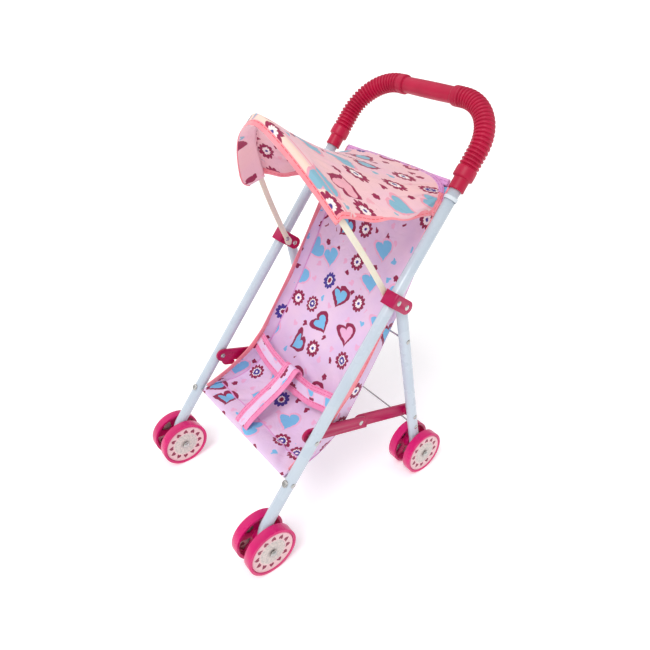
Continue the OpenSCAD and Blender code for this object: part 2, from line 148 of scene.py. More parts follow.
def bar(name, path, outline, across, loop=False, caps=True):
    """An outline carried along a path: point = path + outline x along 'across' + outline y along
    the direction square to 'across' and to the path. Round caps close the ends."""
    path = np.asarray(path, float)
    step = np.roll(path, -1, 0) - np.roll(path, 1, 0) if loop else np.gradient(path, axis=0)
    forward = unit(step)
    across = np.broadcast_to(np.asarray(across, float), path.shape)
    across = unit(across - forward * np.sum(across * forward, 1, keepdims=True))
    rise = np.cross(forward, across)
    outline = np.asarray(outline, float)
    if outline.ndim == 2:
        outline = np.broadcast_to(outline, (len(path), *outline.shape))
    rows = (path[:, None] + across[:, None] * outline[..., :1] + rise[:, None] * outline[..., 1:])
    round_it = np.linalg.norm(np.diff(outline[0], axis=0, append=outline[0][:1]), axis=1)
    uv = np.stack(np.broadcast_arrays(lengths(path)[:, None],
                                      np.concatenate([[0], np.cumsum(round_it)[:-1]])[None]), -1)
    count, wide = rows.shape[:2]
    faces = quads(count, wide, loop, True).tolist()
    rows, uv = rows.reshape(-1, 3), uv.reshape(-1, 2)
    if caps and not loop:
        rows = np.concatenate([rows, rows[:wide].mean(0)[None], rows[-wide:].mean(0)[None]])
        uv = np.concatenate([uv, uv[[0, -1]]])
        ring, nxt = np.arange(wide), np.roll(np.arange(wide), -1)
        ends = [np.stack([np.full(wide, count * wide), nxt, ring], 1),
                np.stack([np.full(wide, count * wide + 1), ring + len(rows) - 2 - wide,
                          nxt + len(rows) - 2 - wide], 1)]
        faces += np.concatenate(ends).tolist()
    return place(name, rows, faces, uv)


def superellipse(half_wide, half_high, power=2.0, count=24):
    """A closed outline: x and y are signed powers of cosine and sine, rounder at power 2 and
    squarer above it."""
    a = np.linspace(0, 2 * np.pi, count, endpoint=False)
    x, y = np.cos(a), np.sin(a)
    return np.stack([half_wide * np.sign(x) * abs(x) ** (2 / power),
                     half_high * np.sign(y) * abs(y) ** (2 / power)], 1)


def lathe(name, profile, centre, axis, count=64):
    """A profile of (distance along the axis, radius) turned round an axis through a centre. The
    UV map is the flat view along the axis, in metres from the centre."""
    axis = unit(np.asarray(axis, float))
    side = unit(np.cross(axis, (0.0, 0.123, 1.0)))
    other = np.cross(axis, side)
    a = np.linspace(0, 2 * np.pi, count, endpoint=False)
    profile = np.asarray(profile, float)
    turn = np.cos(a)[:, None] * side + np.sin(a)[:, None] * other
    points = (np.asarray(centre) + profile[:, None, :1] * axis
              + profile[:, None, 1:] * turn[None])
    uv = np.stack([profile[:, 1:] * np.cos(a), profile[:, 1:] * np.sin(a)], -1)
    obj = place(name, points, quads(len(profile), count, False, True), uv)
    return obj


def tidy(obj, distance=1e-5):
    """Merges doubled points and turns every face outwards."""
    import bmesh
    work = bmesh.new()
    work.from_mesh(obj.data)
    bmesh.ops.remove_doubles(work, verts=work.verts, dist=distance)
    bmesh.ops.recalc_face_normals(work, faces=work.faces)
    work.to_mesh(obj.data)
    work.free()
    return obj


# %% [markdown]
# ## Helpers for materials
# A material is a small network of nodes. One function adds any node, sets it up and joins it, and
# one turns the hex colours that a paint chart gives into the linear values that light needs.


# %% Material helpers
def linear(hex_colour):
    """An sRGB hex colour as linear red, green, blue and alpha."""
    v = np.array([int(hex_colour[i:i + 2], 16) / 255 for i in (1, 3, 5)])
    v = np.where(v <= 0.04045, v / 12.92, ((v + 0.055) / 1.055) ** 2.4)
    return (*v.tolist(), 1.0)


def add(tree, kind, inputs=None, **settings):
    """Adds one node: settings are its own, inputs are its sockets, each a value or another
    node's output."""
    node = tree.nodes.new(kind)
    for key, value in settings.items():
        setattr(node, key, value)
    for key, value in (inputs or {}).items():
        if isinstance(value, bpy.types.Node):
            value = value.outputs[0]
        if isinstance(value, bpy.types.NodeSocket):
            tree.links.new(value, node.inputs[key])
        else:
            node.inputs[key].default_value = value
    return node


def new_material(name, **values):
    """A material with one Principled shader, whose sockets take the values named."""
    material = bpy.data.materials.new(name)
    material.use_nodes = True
    shader = material.node_tree.nodes["Principled BSDF"]
    for key, value in values.items():
        shader.inputs[key.replace("_", " ")].default_value = value
    return material, material.node_tree, shader


def colours(ramp_node, *stops, hard=False):
    """Sets a colour ramp's stops: (place from 0 to 1, hex colour or ready colour)."""
    ramp = ramp_node.color_ramp
    ramp.interpolation = "CONSTANT" if hard else "LINEAR"
    while len(ramp.elements) < len(stops):
        ramp.elements.new(1.0)
    for element, (at, colour) in zip(ramp.elements, stops):
        element.position = at
        element.color = linear(colour) if isinstance(colour, str) else colour
    return ramp_node


PERIOD = 2 * math.pi / 20  # a Wave node of scale 1 repeats each 2 pi / 20 of its coordinate

# %% [markdown]
# ## Painted, moulded and plated finishes
# The legs are steel tube with a gloss powder paint, whose skin has a fine orange peel. The joints
# and wheels are polypropylene from polished moulds: even in colour, softly glossy, with faint flow
# marks. The grip is a softer vinyl with a dulled skin. Rivets, wires and axles are nickel-plated.


# %% Hard finishes
def finished(name, base, varied, roughness, grain_mm, bump_mm, wear=None, **values):
    """A finish whose colour drifts slightly between two shades over a few centimetres, with a
    grain of the given width and depth and a roughness that wanders by a tenth."""
    material, tree, shader = new_material(name, **values)
    place_on = add(tree, "ShaderNodeTexCoord").outputs["Object"]
    drift = add(tree, "ShaderNodeTexNoise", {"Vector": place_on, "Scale": 28.0, "Detail": 3.0})
    shade = colours(add(tree, "ShaderNodeValToRGB", {0: drift}), (0.35, base), (0.65, varied))
    tree.links.new(shade.outputs[0], shader.inputs["Base Color"])
    rough = add(tree, "ShaderNodeMapRange", {0: drift.outputs[0], 1: 0.3, 2: 0.7,
                                            3: roughness - 0.05, 4: roughness + 0.05})
    tree.links.new(rough.outputs[0], shader.inputs["Roughness"])
    grain = add(tree, "ShaderNodeTexNoise", {"Vector": place_on, "Scale": 1000 / grain_mm,
                                            "Detail": 2.0})
    bump = add(tree, "ShaderNodeBump", {"Height": grain.outputs[0], "Strength": 1.0,
                                       "Distance": bump_mm / 1000})
    tree.links.new(bump.outputs[0], shader.inputs["Normal"])
    return material


powder_paint = finished("white_powder_paint", "#BFCBD8", "#C6D1DC", 0.27, 1.6, 0.012,
                        Coat_Weight=0.35, Coat_Roughness=0.12, IOR=1.5)
grip_vinyl = finished("crimson_soft_vinyl", "#C00A40", "#B2083A", 0.42, 0.9, 0.03, IOR=1.5,
                      Specular_IOR_Level=0.35)
joint_plastic = finished("magenta_moulded_polypropylene", "#B80052", "#AC004B", 0.3, 1.8, 0.012,
                         IOR=1.49, Specular_IOR_Level=0.35, Coat_Weight=0.1, Coat_Roughness=0.2)
wheel_plastic = finished("pink_moulded_polypropylene", "#DA0C70", "#CC0A66", 0.3, 1.8, 0.012,
                         IOR=1.49, Specular_IOR_Level=0.4, Coat_Weight=0.15, Coat_Roughness=0.2)
bow_plastic = finished("cream_extruded_vinyl_strip", "#EFE8D6", "#E9E0CC", 0.38, 2.4, 0.02,
                       IOR=1.5, Subsurface_Weight=0.1, Subsurface_Scale=0.002)
nickel_plate = finished("nickel_plated_steel", "#C6C5C2", "#B4B3B1", 0.22, 0.7, 0.008,
                        Metallic=1.0)

# %% [markdown]
# ## Printed cloth
# The seat and canopy are one light polyester with a printed pattern: blue hearts with a pink
# shadow, hearts with a maroon edge, maroon and purple flowers, and small drops and petals between.
# The canopy's cloth is drawn lighter and more salmon. This is partly its own colour and partly
# painted light shining through it from above.
# A Voronoi node scatters points; around each point the node gives local coordinates, in which a
# heart or a flower is one short formula. A heart is the points (x, y) where x squared plus
# (1.25 y minus the root of |x|) squared is under 1; a flower is a circle whose radius ripples
# with the angle. The print follows the cloth's own UV map, in metres.


# %% Printed pattern
def scattered(tree, cloth, every_mm, size_mm, seed, turn):
    """Local coordinates round scattered points, each turned by its own angle: returns (x, y) as
    a vector in sizes, three random values, and the distance to the point in metres."""
    moved = add(tree, "ShaderNodeVectorMath", {0: cloth, 1: (seed, seed * 0.7, 0)})
    cells = add(tree, "ShaderNodeTexVoronoi", {"Vector": moved, "Scale": 1000 / every_mm,
                                              "Randomness": 0.62}, voronoi_dimensions="2D")
    away = add(tree, "ShaderNodeVectorMath", {0: moved, 1: cells.outputs["Position"]},
               operation="SUBTRACT")
    chance = add(tree, "ShaderNodeSeparateColor", {0: cells.outputs["Color"]})
    angle = add(tree, "ShaderNodeMapRange", {0: chance.outputs[0], 3: -turn, 4: turn})
    turned = add(tree, "ShaderNodeVectorRotate", {"Vector": away, "Angle": angle},
                 rotation_type="Z_AXIS")
    local = add(tree, "ShaderNodeVectorMath", {0: turned, "Scale": 1000 / size_mm},
                operation="SCALE")
    far = add(tree, "ShaderNodeVectorMath", {0: away}, operation="LENGTH")
    return local, chance, far.outputs["Value"]


def heart_and_flower(tree, local, petals):
    """How far out a point is in a heart and in a flower: 1 is the outline of each. The heart's
    tail is bent sideways a little, as if drawn by hand."""
    xy = add(tree, "ShaderNodeSeparateXYZ", {0: local})
    x, y = xy.outputs[0], xy.outputs[1]
    bent = add(tree, "ShaderNodeMath", {0: y, 1: y}, operation="MULTIPLY")
    bent = add(tree, "ShaderNodeMath", {0: bent, 1: 0.28, 2: x}, operation="MULTIPLY_ADD")
    side = add(tree, "ShaderNodeMath", {0: bent}, operation="ABSOLUTE")
    root = add(tree, "ShaderNodeMath", {0: side, 1: 0.5}, operation="POWER")
    lifted = add(tree, "ShaderNodeMath", {0: y, 1: 1.25, 2: 0.25}, operation="MULTIPLY_ADD")
    dropped = add(tree, "ShaderNodeMath", {0: lifted, 1: root}, operation="SUBTRACT")
    heart = add(tree, "ShaderNodeCombineXYZ", {0: bent, 1: dropped})
    heart = add(tree, "ShaderNodeVectorMath", {0: heart}, operation="LENGTH")
    angle = add(tree, "ShaderNodeMath", {0: y, 1: x}, operation="ARCTAN2")
    ripple = add(tree, "ShaderNodeMath", {0: angle, 1: petals / 2}, operation="MULTIPLY")
    ripple = add(tree, "ShaderNodeMath", {0: ripple}, operation="SINE")
    ripple = add(tree, "ShaderNodeMath", {0: ripple}, operation="ABSOLUTE")
    ripple = add(tree, "ShaderNodeMath", {0: ripple, 1: 0.7}, operation="POWER")
    reach = add(tree, "ShaderNodeMath", {0: ripple, 1: 0.27, 2: 0.73}, operation="MULTIPLY_ADD")
    out = add(tree, "ShaderNodeVectorMath", {0: local}, operation="LENGTH")
    flower = add(tree, "ShaderNodeMath", {0: out.outputs["Value"], 1: reach}, operation="DIVIDE")
    return heart.outputs["Value"], flower.outputs[0]


def drawn(tree, ground, out, stops, when):
    """Draws one motif over the ground: a hard ramp from its middle outwards, clear beyond its
    outline, and only where 'when' is one."""
    half = add(tree, "ShaderNodeMath", {0: out, 1: 0.5}, operation="MULTIPLY")
    clear = (*linear(stops[-1][1])[:3], 0.0)
    ramp = colours(add(tree, "ShaderNodeValToRGB", {0: half}),
                   *[(at / 2, colour) for at, colour in stops], (0.5, clear), hard=True)
    shown = add(tree, "ShaderNodeMath", {0: ramp.outputs[1], 1: when}, operation="MULTIPLY")
    return add(tree, "ShaderNodeMix", {0: shown, 6: ground, 7: ramp.outputs[0]},
               data_type="RGBA").outputs[2]


def between(tree, value, low, high):
    """One where a random value lies between two limits, else nought."""
    middle, reach = (low + high) / 2, (high - low) / 2
    return add(tree, "ShaderNodeMath", {0: value, 1: middle, 2: reach},
               operation="COMPARE").outputs[0]


def printed_cloth(name, ground, inks, sheen, casing=None):
    """Plain-woven polyester with the print, a weave and soft creases. inks are blue, maroon,
    purple, white, shadow pink and faint pink. A casing is the pale band where a strip shows
    through the cloth, 6 to 15 mm from its front edge, with a seam behind it."""
    blue, maroon, purple, white, shadow, faint = inks
    material, tree, shader = new_material(
        name, Roughness=0.72, Sheen_Weight=sheen, Sheen_Roughness=0.4, IOR=1.5,
        Specular_IOR_Level=0.3)
    cloth = add(tree, "ShaderNodeUVMap", uv_map="pattern").outputs[0]
    wobble = add(tree, "ShaderNodeTexNoise", {"Vector": cloth, "Scale": 160.0, "Detail": 1.0})
    wobble = add(tree, "ShaderNodeVectorMath", {0: wobble.outputs["Color"], 1: (0.5, 0.5, 0.5)},
                 operation="SUBTRACT")
    inked = add(tree, "ShaderNodeVectorMath", {0: wobble, 1: (0.003, 0.003, 0), 2: cloth},
                operation="MULTIPLY_ADD").outputs[0]
    mottle = add(tree, "ShaderNodeTexNoise", {"Vector": cloth, "Scale": 24.0, "Detail": 2.0})
    picture = colours(add(tree, "ShaderNodeValToRGB", {0: mottle}), (0.3, ground[0]),
                      (0.7, ground[1])).outputs[0]
    if casing:
        edge = add(tree, "ShaderNodeSeparateXYZ", {0: cloth}).outputs[1]
        band = add(tree, "ShaderNodeMapRange", {0: edge, 1: -0.019, 2: -0.005, 3: -1.0, 4: 1.0},
                   clamp=False)
        band = add(tree, "ShaderNodeMath", {0: band}, operation="ABSOLUTE")
        band = add(tree, "ShaderNodeMapRange", {0: band, 1: 0.55, 2: 1.0, 3: 0.7, 4: 0.0},
                   interpolation_type="SMOOTHSTEP")
        picture = add(tree, "ShaderNodeMix", {0: band, 6: picture, 7: linear(casing)},
                      data_type="RGBA").outputs[2]
    # Small petals, drops and faint hearts, about every 26 mm, kept off the large motifs
    big, kind, far = scattered(tree, inked, 48, 13.2, 0.31, 1.25)
    small, small_kind, _ = scattered(tree, inked, 25, 4.6, 0.83, 2.2)
    clear_of_big = add(tree, "ShaderNodeMath", {0: far, 1: 0.0195}, operation="GREATER_THAN")
    small_heart, small_flower = heart_and_flower(tree, small, 5)
    for low, high, out, stops in (
            (0.0, 0.30, small_heart, ((0.0, faint), (0.95, faint))),
            (0.30, 0.52, small_heart, ((0.0, blue), (0.8, blue))),
            (0.52, 0.74, small_heart, ((0.0, maroon), (0.7, maroon))),
            (0.74, 0.88, small_flower, ((0.0, maroon), (1.1, maroon)))):
        when = add(tree, "ShaderNodeMath", {0: between(tree, small_kind.outputs[1], low, high),
                                           1: clear_of_big}, operation="MULTIPLY")
        picture = drawn(tree, picture, out, stops, when.outputs[0])
    # Large motifs, about every 48 mm: hearts 33 mm wide and flowers 25 mm
    heart, flower = heart_and_flower(tree, big, 11)
    heart = add(tree, "ShaderNodeMath", {0: heart, 1: 0.72}, operation="MULTIPLY").outputs[0]
    for low, high, out, stops in (
            (0.0, 0.27, heart, ((0.0, blue), (0.80, shadow))),
            (0.27, 0.44, heart, ((0.0, blue), (0.62, maroon))),
            (0.44, 0.54, heart, ((0.0, faint), (0.66, maroon))),
            (0.54, 0.76, flower, ((0.0, purple), (0.20, white), (0.52, maroon))),
            (0.76, 0.88, flower, ((0.0, maroon), (0.30, white), (0.46, purple))),
            (0.88, 1.01, flower, ((0.0, white), (0.16, purple), (0.46, white), (0.60, maroon)))):
        picture = drawn(tree, picture, out, stops, between(tree, kind.outputs[1], low, high))
    if casing:
        seam = add(tree, "ShaderNodeMath", {0: edge, 1: -0.0215, 2: 0.0008}, operation="COMPARE")
        picture = add(tree, "ShaderNodeMix", {0: seam, 6: picture, 7: linear("#F29AA6")},
                      data_type="RGBA").outputs[2]
    tree.links.new(picture, shader.inputs["Base Color"])
    # The real threads are 0.25 mm apart; they are drawn 0.9 mm apart so that they show
    warp = add(tree, "ShaderNodeTexWave", {"Vector": cloth, "Scale": PERIOD / 0.0009,
                                          "Distortion": 0.6}, bands_direction="X")
    weft = add(tree, "ShaderNodeTexWave", {"Vector": cloth, "Scale": PERIOD / 0.0009,
                                          "Distortion": 0.6}, bands_direction="Y")
    weave = add(tree, "ShaderNodeMath", {0: warp.outputs[0], 1: weft.outputs[0]})
    fine = add(tree, "ShaderNodeBump", {"Height": weave, "Strength": 0.5, "Distance": 0.0001})
    creases = add(tree, "ShaderNodeTexNoise", {"Vector": cloth, "Scale": 38.0, "Detail": 2.5,
                                              "Distortion": 1.2})
    soft = add(tree, "ShaderNodeBump", {"Height": creases.outputs[0], "Strength": 0.55,
                                       "Distance": 0.0035, "Normal": fine})
    tree.links.new(soft.outputs[0], shader.inputs["Normal"])
    return material


INKS = ("#7CC0EA", "#93264F", "#4A3B95", "#FBF3F7", "#EFB4D6", "#EDB4D8")
seat_cloth = printed_cloth("printed_polyester_lilac", ("#E2C6EA", "#ECCFE9"), INKS, 0.25)
# The canopy's lighter, salmon ground and inks are partly the cloth's own colour and partly painted
# light: the glow of light shining through the thin cloth from above.
canopy_cloth = printed_cloth(
    "printed_polyester_salmon_and_painted_glow", ("#F5C6D4", "#FACBCB"),
    ("#8CBCD0", "#A02C54", "#54408F", "#FDEEEC", "#F2A6B8", "#F6B3C0"), 0.25, "#FFE3CB")
strap_cloth = seat_cloth


# %% [markdown]
# ## Binding tape
# Every raw edge is covered by a folded satin tape and sewn down with one row of stitches. Satin
# shines along its length, and the stitches are short dashes pressed into it. The UV map of each
# tape has its length in metres along the first axis, so the dashes come out 2.6 mm long.


# %% Tape material
def tape(name, light, dark):
    """Satin tape: fine ribs across, a drift of colour, and stitch dashes every 3.4 mm."""
    material, tree, shader = new_material(name, Roughness=0.5, Sheen_Weight=0.3,
                                          Sheen_Roughness=0.35, Specular_IOR_Level=0.4, IOR=1.5)
    cloth = add(tree, "ShaderNodeUVMap", uv_map="pattern").outputs[0]
    drift = add(tree, "ShaderNodeTexNoise", {"Vector": cloth, "Scale": 60.0, "Detail": 2.0})
    shade = colours(add(tree, "ShaderNodeValToRGB", {0: drift}), (0.3, dark), (0.7, light))
    parts = add(tree, "ShaderNodeSeparateXYZ", {0: cloth})
    along = add(tree, "ShaderNodeMath", {0: parts.outputs[0], 1: 0.0034}, operation="PINGPONG")
    dash = add(tree, "ShaderNodeMath", {0: along, 1: 0.0026}, operation="LESS_THAN")
    row = add(tree, "ShaderNodeMath", {0: parts.outputs[1], 1: 0.0075}, operation="PINGPONG")
    line = add(tree, "ShaderNodeMath", {0: row, 1: 0.0022, 2: 0.0004}, operation="COMPARE")
    stitch = add(tree, "ShaderNodeMath", {0: dash, 1: line}, operation="MULTIPLY")
    sewn = add(tree, "ShaderNodeMix", {0: stitch.outputs[0], 6: shade.outputs[0],
                                      7: linear(dark)}, data_type="RGBA", blend_type="MULTIPLY")
    tree.links.new(sewn.outputs[2], shader.inputs["Base Color"])
    ribs = add(tree, "ShaderNodeTexWave", {"Vector": cloth, "Scale": PERIOD / 0.0008},
               bands_direction="X")
    fine = add(tree, "ShaderNodeBump", {"Height": ribs.outputs[0], "Strength": 0.4,
                                       "Distance": 0.0001})
    pressed = add(tree, "ShaderNodeBump", {"Height": stitch, "Strength": 0.6,
                                          "Distance": 0.0004, "Normal": fine}, invert=True)
    tree.links.new(pressed.outputs[0], shader.inputs["Normal"])
    return material


pink_tape = tape("pink_satin_tape", "#F596C2", "#EC7FB0")
salmon_tape = tape("salmon_satin_tape", "#FF9FA8", "#F88C99")
lilac_tape = tape("lilac_satin_tape", "#E3A9DC", "#D898D0")
white_tape = tape("white_elastic_tape", "#DCE3EA", "#D2DAE2")


# %% [markdown]
# ## Disc with hearts
# The insert in each wheel is a pale pink disc with a ring of twelve printed hearts. The lathe's UV
# map is the flat view of the disc, so the angle round its middle, folded to a twelfth of a turn,
# gives every heart the same small frame of its own.

# %% Disc material
disc_plastic, tree, shader = new_material("pale_pink_moulded_disc", Roughness=0.4, IOR=1.49)
flat = add(tree, "ShaderNodeUVMap", uv_map="pattern").outputs[0]
parts = add(tree, "ShaderNodeSeparateXYZ", {0: flat})
angle = add(tree, "ShaderNodeMath", {0: parts.outputs[1], 1: parts.outputs[0]},
            operation="ARCTAN2")
twelfth = add(tree, "ShaderNodeMath", {0: angle, 1: math.pi / 12, 2: -math.pi / 12},
              operation="WRAP")
radius = add(tree, "ShaderNodeVectorMath", {0: flat}, operation="LENGTH").outputs["Value"]
# local x runs round the disc and local y outwards, in sizes of 3.7 mm about a ring of 24 mm
round_it = add(tree, "ShaderNodeMath", {0: twelfth, 1: 0.0238 / 0.0037}, operation="MULTIPLY")
outward = add(tree, "ShaderNodeMapRange", {0: radius, 1: 0.0238, 2: 0.0238 + 0.0037, 3: 0.0,
                                          4: -1.0}, clamp=False)
local = add(tree, "ShaderNodeCombineXYZ", {0: round_it, 1: outward})
heart, _ = heart_and_flower(tree, local, 5)
mottle = add(tree, "ShaderNodeTexNoise", {"Vector": flat, "Scale": 300.0, "Detail": 3.0})
ground = colours(add(tree, "ShaderNodeValToRGB", {0: mottle}), (0.3, "#E3B9BE"),
                 (0.7, "#EDC9CB")).outputs[0]
middle = add(tree, "ShaderNodeMath", {0: radius, 1: 0.0185}, operation="LESS_THAN")
frosted = colours(add(tree, "ShaderNodeValToRGB", {0: mottle}), (0.35, "#BDB6B4"),
                  (0.65, "#E3D3CC")).outputs[0]
ground = add(tree, "ShaderNodeMix", {0: middle, 6: ground, 7: frosted}, data_type="RGBA").outputs[2]
picture = drawn(tree, ground, heart, ((0.0, "#8A0F40"), (1.0, "#8A0F40")), 1.0)
lip = add(tree, "ShaderNodeMath", {0: radius, 1: 0.0291}, operation="GREATER_THAN")
picture = add(tree, "ShaderNodeMix", {0: lip.outputs[0], 6: picture, 7: linear("#F0A3B9")},
              data_type="RGBA").outputs[2]
tree.links.new(picture, shader.inputs["Base Color"])
dust = add(tree, "ShaderNodeBump", {"Height": mottle.outputs[0], "Strength": 0.3,
                                   "Distance": 0.0002})
tree.links.new(dust.outputs[0], shader.inputs["Normal"])
print(len(bpy.data.materials), "materials")

# %% [markdown]
# ## Where things are
# The front legs lean back 38 degrees, so most pieces are easiest to give as a distance along the
# leg from its bend and a distance in front of it. The bend is 22 mm above the front axle.

# %% The leg's own coordinates
MM = 0.001
LEAN = math.radians(38)
axle_low, axle_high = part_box("front_axle_left")
AXLE_Y = (axle_low.y + axle_high.y) / 2
AXLE_Z = (axle_low.z + axle_high.z) / 2
LEG_X = abs((axle_low.x + axle_high.x) / 2)
KNEE_Z = AXLE_Z + 22 * MM
ALONG = np.array([0, math.sin(LEAN), math.cos(LEAN)])
IN_FRONT = np.array([0, -math.cos(LEAN), math.sin(LEAN)])
ACROSS = np.array([1.0, 0, 0])


def on_leg(x, along, front):
    """x mm to the right, 'along' mm up the leg from its bend and 'front' mm in front of it."""
    x, along, front = np.broadcast_arrays(*[np.asarray(v, float)[..., None] * MM
                                            for v in (x, along, front)])
    return (x * ACROSS + along * ALONG + front * IN_FRONT
            + np.array([0, AXLE_Y, KNEE_Z]))


print("legs at x", round(LEG_X * 1000, 1), "mm, bend at", round(KNEE_Z * 1000, 1), "mm")


def finish(obj, material, body, slot, *replaced):
    """Gives a piece its material and its body, and hides the CAD nodes that it replaces. slot is not
    used.
    """
    obj.data.materials.clear()
    obj.data.materials.append(material)
    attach(obj, body)
    if replaced:
        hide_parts(*replaced)
    return obj


# %% [markdown]
# ## Finishes for the ready-made nodes
# Nodes whose shape is right only need their finish. The material goes into each mesh's slot.

# %% Materials on CAD nodes
by_slot = {"leg_paint": powder_paint, "grip_vinyl": grip_vinyl, "joint_plastic": joint_plastic,
           "wheel_plastic": wheel_plastic, "disc_plastic": disc_plastic,
           "seat_cloth": seat_cloth, "canopy_cloth": canopy_cloth, "binding_tape": pink_tape,
           "bow_plastic": bow_plastic, "bright_steel": nickel_plate}
for part in frame["record"]["subparts"]:
    mesh = frame["nodes"][part["node"]].data
    mesh.materials.clear()
    mesh.materials.append(by_slot[part["material_slot"]])

# %% [markdown]
# ## Softened edges on the moulded parts
# A moulded edge is never sharp: the mould rounds it by half a millimetre, and that thin highlight
# is most of what makes plastic look like plastic. Each moulded node is copied, its loose triangles
# are merged, and a Bevel modifier rounds the edges that turn by more than 35 degrees.


# %% Bevelled copies
def softened(node, width_mm, material, body, slot, segments=2):
    """A bevelled copy of a CAD node that replaces it."""
    import bmesh
    work = bmesh.new()
    work.from_mesh(frame["nodes"][node].data)
    bmesh.ops.remove_doubles(work, verts=work.verts, dist=1e-5)
    bmesh.ops.dissolve_limit(work, angle_limit=0.01, verts=work.verts, edges=work.edges)
    mesh = bpy.data.meshes.new("soft_" + node)
    work.to_mesh(mesh)
    work.free()
    mesh.polygons.foreach_set("use_smooth", np.ones(len(mesh.polygons), bool))
    obj = bpy.data.objects.new("soft_" + node, mesh)
    bpy.context.scene.collection.objects.link(obj)
    bevel = obj.modifiers.new("moulded edge", "BEVEL")
    bevel.width, bevel.segments = width_mm * MM, segments
    bevel.limit_method, bevel.angle_limit = "ANGLE", math.radians(35)
    bevel.harden_normals = True
    bevel.use_clamp_overlap = True
    return finish(obj, material, body, slot, node)


body_of = {node: body for body, nodes in frame["record"]["behaviour"]["bodies"].items()
           for node in nodes}
for node, body in sorted(body_of.items()):
    if node.startswith(("bracket", "link_")):
        softened(node, 0.7, joint_plastic, body, "joint_plastic")
    elif node.startswith("wheel_"):
        softened(node, 1.1, wheel_plastic, body, "wheel_plastic", 3)

# %% [markdown]
# ## Wheel discs
# Each insert is turned on a lathe: a flat face, a raised ring round the hub, a groove, and a
# rolled lip. One profile makes all eight.

# %% Discs
disc_profile = np.array([(0.0, 2.9), (2.0, 2.9), (2.6, 3.5), (2.6, 13.6), (2.3, 14.4), (2.0, 14.8),
                         (1.9, 16.0), (1.9, 28.2), (2.1, 28.7), (2.7, 29.0), (3.0, 29.6),
                         (2.8, 30.2), (2.2, 30.4), (0.0, 30.4)]) * MM
for node, body in sorted(body_of.items()):
    if node.startswith("disc_"):
        low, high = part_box(node)
        outward = 1 if (node.endswith("right_outer") or node.endswith("left_inner")) else -1
        inner_x = low.x if outward > 0 else high.x
        centre = (inner_x, (low.y + high.y) / 2, (low.z + high.z) / 2)
        disc = lathe(node + "_printed", disc_profile, centre, (outward, 0, 0))
        tidy(disc)
        finish(disc, disc_plastic, body, "disc_plastic", node)

# %% [markdown]
# ## Front legs
# Each front leg is one tube, straight above and bent to the upright just over the wheels. The
# path is the straight leg, a short arc and the foot, and a circle is carried along it.

# %% Bent tubes
leg_radius = 7.7 * MM
bend = 30 * MM
reach = bend * math.tan(LEAN / 2)
turn = np.linspace(0, LEAN, 10)
for side, node in ((-1, "front_leg_left"), (1, "front_leg_right")):
    low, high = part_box(node)
    start = np.array([side * LEG_X, AXLE_Y, KNEE_Z - reach])
    arc = start + np.stack([0 * turn, bend * (1 - np.cos(turn)), bend * np.sin(turn)], 1)
    foot = np.array([[side * LEG_X, AXLE_Y, low.z + 0.3 * MM], [side * LEG_X, AXLE_Y, KNEE_Z - 12 * MM]])
    top = on_leg(side * LEG_X / MM, np.array([80, 300, 528.0]), 0)
    path = np.concatenate([foot, arc, top])
    leg = bar(node + "_bent", path, superellipse(leg_radius, leg_radius, 2, 40), ACROSS)
    finish(leg, powder_paint, "frame", "leg_paint", node)

# %% [markdown]
# ## Ribbed handle
# The handle's bends are covered by a soft sleeve with about two dozen ribs a side, so that it can
# bend without creasing. The sleeve is a circle carried round the bend whose radius rises and falls
# along the path: radius = 11.2 mm + 2.3 mm x (rounded sine of the distance, one wave each 5.3 mm).
# The plain cuff below and the collars are the same path with steps in the radius.

# %% Grips
BAR_AT, HANDLE_BEND, CUFF_AT = 612, 64, 495
for side, node in ((-1, "grip_left"), (1, "grip_right")):
    a = np.linspace(0, np.pi / 2, 60)
    leg_x = LEG_X / MM
    straight = np.stack([np.full(40, leg_x), np.linspace(CUFF_AT, BAR_AT - HANDLE_BEND, 40)], 1)
    round_bend = np.stack([leg_x - HANDLE_BEND * (1 - np.cos(a)),
                           BAR_AT - HANDLE_BEND + HANDLE_BEND * np.sin(a)], 1)
    inward = np.stack([np.linspace(leg_x - HANDLE_BEND, 46, 12), np.full(12, BAR_AT)], 1)
    flat = spaced(np.concatenate([straight, round_bend[1:], inward[1:]]), 460)
    s = lengths(flat)
    total = s[-1]
    ribs_from, ribs_to = 29.0, total - 9.5
    wave = 0.5 + 0.5 * np.cos(2 * np.pi * (s - ribs_from) / 5.3)
    ribbed = 10.7 + 2.8 * (1 - (1 - wave) ** 2.2)
    cuff = 10.4 + 0.25 * np.exp(-((s - 1.2) / 0.9) ** 2)
    collar = 13.5 - 0.5 * np.clip(abs(s - 22.5) / 6.5, 0, 1) ** 6
    end_collar = 13.6 - 0.6 * np.clip(abs(s - total + 4.7) / 4.7, 0, 1) ** 6
    radius = np.select([s < 16, s < ribs_from, s < ribs_to], [cuff, collar, ribbed], end_collar)
    for _ in range(2):
        radius[1:-1] = (radius[:-2] + 2 * radius[1:-1] + radius[2:]) / 4
    path = on_leg(side * flat[:, 0], flat[:, 1], 0)
    grip = bar(node + "_ribbed", path, superellipse(1, 1, 2, 36)[None] * radius[:, None, None] * MM,
               IN_FRONT)
    tidy(grip)
    finish(grip, grip_vinyl, "frame", "grip_vinyl", node)

# %% [markdown]
# ## Push bar
# Between the sleeves the bar is smooth, and swells very slightly in the middle, as a hand hold
# does.

# %% Smooth bar
x = np.linspace(-46.4, 46.4, 60)
swell = 11.0 + 0.5 * np.cos(np.pi * x / 100)
bar_mid = bar("push_bar_smooth", on_leg(x, BAR_AT, 0),
              superellipse(1, 1, 2, 40)[None] * swell[:, None, None] * MM, IN_FRONT)
finish(bar_mid, grip_vinyl, "frame", "grip_vinyl", "push_bar")

# %% [markdown]
# ## Letting cloth settle
# The sheets below start as smooth formulas and then hang under their own weight for a few steps of
# Blender's cloth solver, pinned where they are sewn. Cut a little large, as sewn cloth is, they
# settle into shallow folds that no short formula gives. The result is written into the mesh, and
# no solver is left on the piece.


